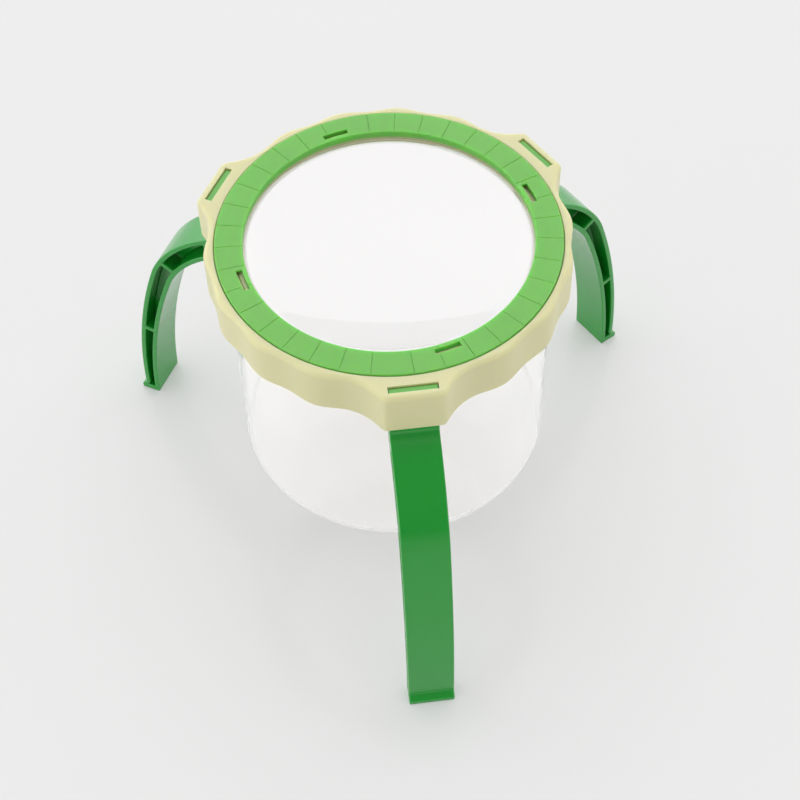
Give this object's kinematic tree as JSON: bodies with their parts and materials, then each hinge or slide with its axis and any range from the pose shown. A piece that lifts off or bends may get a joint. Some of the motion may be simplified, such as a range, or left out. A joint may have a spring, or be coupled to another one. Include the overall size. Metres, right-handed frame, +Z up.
{
  "type": "bug catcher jar",
  "caption": "Clear round jar that twists up into a scalloped lid with a magnifying lens, held above the ground by curved plug-in legs.",
  "frame": {"origin": "middle of the rectangle that the stand covers, on the ground; the axis of the jar, lid and lens stands 23.5 mm behind it", "axes": "+Z up along the jar's axis, -Y towards the front leg, +X towards the right leg's side"},
  "size_m": [0.195, 0.1689, 0.1278],
  "materials": {
    "clear_plastic": "clear, polished",
    "cream_plastic": "satin",
    "light_green_plastic": "satin",
    "lens_plastic": "clear, polished",
    "leaf_green_plastic": "glossy"
  },
  "bodies": {
    "lid": {"lid_ring": "cream_plastic", "bezel": "light_green_plastic", "lens": "lens_plastic"},
    "jar": {"jar": "clear_plastic"},
    "front_leg": {"front_leg": "leaf_green_plastic"},
    "right_leg": {"right_leg": "leaf_green_plastic"},
    "left_leg": {"left_leg": "leaf_green_plastic"}
  },
  "joints": [
    {"name": "jar_turn", "type": "hinge", "parent": "lid", "child": "jar", "pos_m": [0, 0.02347, 0.0295], "axis": [0, 0, 1], "range_deg": [0, 30]},
    {"name": "front_leg_pull", "type": "slide", "parent": "lid", "child": "front_leg", "axis": [0, 0, -1], "range_m": [0, 0.017]},
    {"name": "right_leg_pull", "type": "slide", "parent": "lid", "child": "right_leg", "axis": [0, 0, -1], "range_m": [0, 0.017]},
    {"name": "left_leg_pull", "type": "slide", "parent": "lid", "child": "left_leg", "axis": [0, 0, -1], "range_m": [0, 0.017]}
  ]
}
